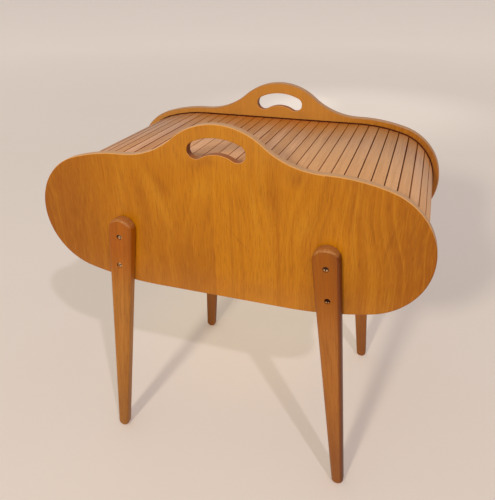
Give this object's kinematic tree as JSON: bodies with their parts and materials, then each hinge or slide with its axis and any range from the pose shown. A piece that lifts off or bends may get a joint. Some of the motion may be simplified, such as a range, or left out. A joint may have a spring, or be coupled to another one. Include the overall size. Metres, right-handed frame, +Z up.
{
  "type": "sewing carrier",
  "caption": "Wooden sewing carrier on splayed legs: two humped end-to-end panels with hand holes, joined by two roll lids of slats over a bin with a sliding tray.",
  "frame": {"origin": "on the floor, under the middle of the carrier's bounding box", "axes": "+X along the carrier, +Y from the front panel to the back panel, +Z up"},
  "size_m": [0.56, 0.3424, 0.5505],
  "materials": {
    "varnished_plywood": "satin varnish",
    "leg_wood": "satin varnish",
    "slat_wood": "satin varnish",
    "inner_wood": "matt",
    "tray_wood": "matt",
    "screw_steel": "worn"
  },
  "bodies": {
    "case": {"front_panel": "varnished_plywood", "back_panel": "varnished_plywood", "front_left_leg": "leg_wood", "front_right_leg": "leg_wood", "back_left_leg": "leg_wood", "back_right_leg": "leg_wood", "front_leg_screws": "screw_steel", "back_leg_screws": "screw_steel", "floor_board": "inner_wood", "left_end_board": "inner_wood", "right_end_board": "inner_wood", "front_tray_runner": "inner_wood", "back_tray_runner": "inner_wood", "left_stop_rail": "inner_wood", "right_stop_rail": "inner_wood"},
    "tray": {"tray_front": "tray_wood", "tray_back": "tray_wood", "tray_left": "tray_wood", "tray_right": "tray_wood", "tray_floor": "tray_wood", "tray_long_divider": "tray_wood", "tray_short_divider": "tray_wood"},
    "left_lid_lead": {"left_slat_01": "slat_wood", "left_slat_02": "slat_wood"},
    "left_slat_03": {"left_slat_03": "slat_wood"},
    "left_slat_04": {"left_slat_04": "slat_wood"},
    "left_slat_05": {"left_slat_05": "slat_wood"},
    "left_slat_06": {"left_slat_06": "slat_wood"},
    "left_slat_07": {"left_slat_07": "slat_wood"},
    "left_slat_08": {"left_slat_08": "slat_wood"},
    "left_slat_09": {"left_slat_09": "slat_wood"},
    "left_slat_10": {"left_slat_10": "slat_wood"},
    "left_slat_11": {"left_slat_11": "slat_wood"},
    "left_slat_12": {"left_slat_12": "slat_wood"},
    "left_slat_13": {"left_slat_13": "slat_wood"},
    "left_end_slats": {"left_end_slats": "slat_wood"},
    "left_slat_19": {"left_slat_19": "slat_wood"},
    "left_slat_20": {"left_slat_20": "slat_wood"},
    "left_slat_21": {"left_slat_21": "slat_wood"},
    "left_slat_22": {"left_slat_22": "slat_wood"},
    "right_lid_lead": {"right_slat_01": "slat_wood"},
    "right_slat_02": {"right_slat_02": "slat_wood"},
    "right_slat_03": {"right_slat_03": "slat_wood"},
    "right_slat_04": {"right_slat_04": "slat_wood"},
    "right_slat_05": {"right_slat_05": "slat_wood"},
    "right_slat_06": {"right_slat_06": "slat_wood"},
    "right_slat_07": {"right_slat_07": "slat_wood"},
    "right_slat_08": {"right_slat_08": "slat_wood"},
    "right_slat_09": {"right_slat_09": "slat_wood"},
    "right_slat_10": {"right_slat_10": "slat_wood"},
    "right_slat_11": {"right_slat_11": "slat_wood"},
    "right_slat_12": {"right_slat_12": "slat_wood"},
    "right_end_slats": {"right_end_slats": "slat_wood"},
    "right_slat_18": {"right_slat_18": "slat_wood"},
    "right_slat_19": {"right_slat_19": "slat_wood"},
    "right_slat_20": {"right_slat_20": "slat_wood"},
    "right_slat_21": {"right_slat_21": "slat_wood"},
    "right_slat_22": {"right_slat_22": "slat_wood"}
  },
  "joints": [
    {"name": "tray_slide", "type": "slide", "parent": "case", "child": "tray", "axis": [1, 0, 0], "range_m": [0, 0.1784]},
    {"name": "left_lid_slide", "type": "slide", "parent": "case", "child": "left_lid_lead", "axis": [-1, 0, 0], "range_m": [0, 0.12]},
    {"name": "left_slat_03_turn", "type": "hinge", "parent": "case", "child": "left_slat_03", "pos_m": [-0.08747, 0, -1.50639], "axis": [0, -1, 0], "range_deg": [0, 3.45]},
    {"name": "left_slat_04_turn", "type": "hinge", "parent": "case", "child": "left_slat_04", "pos_m": [-0.0958, 0, -0.45072], "axis": [0, -1, 0], "range_deg": [0, 7.33]},
    {"name": "left_slat_05_turn", "type": "hinge", "parent": "case", "child": "left_slat_05", "pos_m": [-0.10414, 0, -0.12588], "axis": [0, -1, 0], "range_deg": [0, 11.22]},
    {"name": "left_slat_06_turn", "type": "hinge", "parent": "case", "child": "left_slat_06", "pos_m": [-0.11247, 0, 0.03182], "axis": [0, -1, 0], "range_deg": [0, 15.1]},
    {"name": "left_slat_07_turn", "type": "hinge", "parent": "case", "child": "left_slat_07", "pos_m": [-0.12753, 0, 0.19106], "axis": [0, -1, 0], "range_deg": [0, 23.23]},
    {"name": "left_slat_08_turn", "type": "hinge", "parent": "case", "child": "left_slat_08", "pos_m": [-0.1425, 0, 0.29512], "axis": [0, -1, 0], "range_deg": [0, 35.79]},
    {"name": "left_slat_09_turn", "type": "hinge", "parent": "case", "child": "left_slat_09", "pos_m": [-0.1541, 0, 0.34489], "axis": [0, -1, 0], "range_deg": [0, 48.36]},
    {"name": "left_slat_10_turn", "type": "hinge", "parent": "case", "child": "left_slat_10", "pos_m": [-0.16244, 0, 0.36847], "axis": [0, -1, 0], "range_deg": [0, 58.25]},
    {"name": "left_slat_11_turn", "type": "hinge", "parent": "case", "child": "left_slat_11", "pos_m": [-0.16991, 0, 0.38262], "axis": [0, -1, 0], "range_deg": [0, 66.93]},
    {"name": "left_slat_12_turn", "type": "hinge", "parent": "case", "child": "left_slat_12", "pos_m": [-0.17742, 0, 0.39252], "axis": [0, -1, 0], "range_deg": [0, 75.62]},
    {"name": "left_slat_13_turn", "type": "hinge", "parent": "case", "child": "left_slat_13", "pos_m": [-0.18484, 0, 0.39926], "axis": [0, -1, 0], "range_deg": [0, 84.3]},
    {"name": "left_end_slats_turn", "type": "hinge", "parent": "case", "child": "left_end_slats", "pos_m": [-0.19, 0, 0.4025], "axis": [0, -1, 0], "range_deg": [0, 90.47]},
    {"name": "left_slat_19_turn", "type": "hinge", "parent": "case", "child": "left_slat_19", "pos_m": [-0.18479, 0, 0.40615], "axis": [0, -1, 0], "range_deg": [0, 84.05]},
    {"name": "left_slat_20_turn", "type": "hinge", "parent": "case", "child": "left_slat_20", "pos_m": [-0.17589, 0, 0.41487], "axis": [0, -1, 0], "range_deg": [0, 73.53]},
    {"name": "left_slat_21_turn", "type": "hinge", "parent": "case", "child": "left_slat_21", "pos_m": [-0.16648, 0, 0.4282], "axis": [0, -1, 0], "range_deg": [0, 63.01]},
    {"name": "left_slat_22_turn", "type": "hinge", "parent": "case", "child": "left_slat_22", "pos_m": [-0.1564, 0, 0.44844], "axis": [0, -1, 0], "range_deg": [0, 52.49]},
    {"name": "right_lid_slide", "type": "slide", "parent": "case", "child": "right_lid_lead", "axis": [1, 0, 0], "range_m": [0, 0.12]},
    {"name": "right_slat_02_turn", "type": "hinge", "parent": "case", "child": "right_slat_02", "pos_m": [0.08593, 0, -2.02752], "axis": [0, 1, 0], "range_deg": [0, 2.74]},
    {"name": "right_slat_03_turn", "type": "hinge", "parent": "case", "child": "right_slat_03", "pos_m": [0.09427, 0, -0.5521], "axis": [0, 1, 0], "range_deg": [0, 6.62]},
    {"name": "right_slat_04_turn", "type": "hinge", "parent": "case", "child": "right_slat_04", "pos_m": [0.1026, 0, -0.16766], "axis": [0, 1, 0], "range_deg": [0, 10.5]},
    {"name": "right_slat_05_turn", "type": "hinge", "parent": "case", "child": "right_slat_05", "pos_m": [0.11094, 0, 0.00918], "axis": [0, 1, 0], "range_deg": [0, 14.38]},
    {"name": "right_slat_06_turn", "type": "hinge", "parent": "case", "child": "right_slat_06", "pos_m": [0.12392, 0, 0.15829], "axis": [0, 1, 0], "range_deg": [0, 20.91]},
    {"name": "right_slat_07_turn", "type": "hinge", "parent": "case", "child": "right_slat_07", "pos_m": [0.14011, 0, 0.28182], "axis": [0, 1, 0], "range_deg": [0, 33.48]},
    {"name": "right_slat_08_turn", "type": "hinge", "parent": "case", "child": "right_slat_08", "pos_m": [0.15209, 0, 0.3378], "axis": [0, 1, 0], "range_deg": [0, 46.05]},
    {"name": "right_slat_09_turn", "type": "hinge", "parent": "case", "child": "right_slat_09", "pos_m": [0.16108, 0, 0.36528], "axis": [0, 1, 0], "range_deg": [0, 56.65]},
    {"name": "right_slat_10_turn", "type": "hinge", "parent": "case", "child": "right_slat_10", "pos_m": [0.16853, 0, 0.38037], "axis": [0, 1, 0], "range_deg": [0, 65.34]},
    {"name": "right_slat_11_turn", "type": "hinge", "parent": "case", "child": "right_slat_11", "pos_m": [0.17604, 0, 0.39096], "axis": [0, 1, 0], "range_deg": [0, 74.02]},
    {"name": "right_slat_12_turn", "type": "hinge", "parent": "case", "child": "right_slat_12", "pos_m": [0.18349, 0, 0.39822], "axis": [0, 1, 0], "range_deg": [0, 82.7]},
    {"name": "right_end_slats_turn", "type": "hinge", "parent": "case", "child": "right_end_slats", "pos_m": [0.19, 0, 0.4025], "axis": [0, 1, 0], "range_deg": [0, 90.47]},
    {"name": "right_slat_18_turn", "type": "hinge", "parent": "case", "child": "right_slat_18", "pos_m": [0.18637, 0, 0.40493], "axis": [0, 1, 0], "range_deg": [0, 85.98]},
    {"name": "right_slat_19_turn", "type": "hinge", "parent": "case", "child": "right_slat_19", "pos_m": [0.17756, 0, 0.41297], "axis": [0, 1, 0], "range_deg": [0, 75.46]},
    {"name": "right_slat_20_turn", "type": "hinge", "parent": "case", "child": "right_slat_20", "pos_m": [0.16826, 0, 0.42531], "axis": [0, 1, 0], "range_deg": [0, 64.95]},
    {"name": "right_slat_21_turn", "type": "hinge", "parent": "case", "child": "right_slat_21", "pos_m": [0.15832, 0, 0.44403], "axis": [0, 1, 0], "range_deg": [0, 54.43]},
    {"name": "right_slat_22_turn", "type": "hinge", "parent": "case", "child": "right_slat_22", "pos_m": [0.14744, 0, 0.47317], "axis": [0, 1, 0], "range_deg": [0, 43.91]}
  ],
  "couplings": [
    {"joint": "left_slat_03_turn", "follows": "left_lid_slide", "rad_per_m": 0.50178},
    {"joint": "left_slat_04_turn", "follows": "left_lid_slide", "rad_per_m": 1.0665},
    {"joint": "left_slat_05_turn", "follows": "left_lid_slide", "rad_per_m": 1.6312},
    {"joint": "left_slat_06_turn", "follows": "left_lid_slide", "rad_per_m": 2.1959},
    {"joint": "left_slat_07_turn", "follows": "left_lid_slide", "rad_per_m": 3.378},
    {"joint": "left_slat_08_turn", "follows": "left_lid_slide", "rad_per_m": 5.2059},
    {"joint": "left_slat_09_turn", "follows": "left_lid_slide", "rad_per_m": 7.0337},
    {"joint": "left_slat_10_turn", "follows": "left_lid_slide", "rad_per_m": 8.4719},
    {"joint": "left_slat_11_turn", "follows": "left_lid_slide", "rad_per_m": 9.7351},
    {"joint": "left_slat_12_turn", "follows": "left_lid_slide", "rad_per_m": 10.998},
    {"joint": "left_slat_13_turn", "follows": "left_lid_slide", "rad_per_m": 12.261},
    {"joint": "left_end_slats_turn", "follows": "left_lid_slide", "rad_per_m": 13.158},
    {"joint": "left_slat_19_turn", "follows": "left_lid_slide", "rad_per_m": 12.224},
    {"joint": "left_slat_20_turn", "follows": "left_lid_slide", "rad_per_m": 10.694},
    {"joint": "left_slat_21_turn", "follows": "left_lid_slide", "rad_per_m": 9.1642},
    {"joint": "left_slat_22_turn", "follows": "left_lid_slide", "rad_per_m": 7.6345},
    {"joint": "right_slat_02_turn", "follows": "right_lid_slide", "rad_per_m": 0.39778},
    {"joint": "right_slat_03_turn", "follows": "right_lid_slide", "rad_per_m": 0.96248},
    {"joint": "right_slat_04_turn", "follows": "right_lid_slide", "rad_per_m": 1.5272},
    {"joint": "right_slat_05_turn", "follows": "right_lid_slide", "rad_per_m": 2.0919},
    {"joint": "right_slat_06_turn", "follows": "right_lid_slide", "rad_per_m": 3.0414},
    {"joint": "right_slat_07_turn", "follows": "right_lid_slide", "rad_per_m": 4.8692},
    {"joint": "right_slat_08_turn", "follows": "right_lid_slide", "rad_per_m": 6.6971},
    {"joint": "right_slat_09_turn", "follows": "right_lid_slide", "rad_per_m": 8.2393},
    {"joint": "right_slat_10_turn", "follows": "right_lid_slide", "rad_per_m": 9.5024},
    {"joint": "right_slat_11_turn", "follows": "right_lid_slide", "rad_per_m": 10.766},
    {"joint": "right_slat_12_turn", "follows": "right_lid_slide", "rad_per_m": 12.029},
    {"joint": "right_end_slats_turn", "follows": "right_lid_slide", "rad_per_m": 13.158},
    {"joint": "right_slat_18_turn", "follows": "right_lid_slide", "rad_per_m": 12.505},
    {"joint": "right_slat_19_turn", "follows": "right_lid_slide", "rad_per_m": 10.976},
    {"joint": "right_slat_20_turn", "follows": "right_lid_slide", "rad_per_m": 9.446},
    {"joint": "right_slat_21_turn", "follows": "right_lid_slide", "rad_per_m": 7.9162},
    {"joint": "right_slat_22_turn", "follows": "right_lid_slide", "rad_per_m": 6.3865}
  ]
}
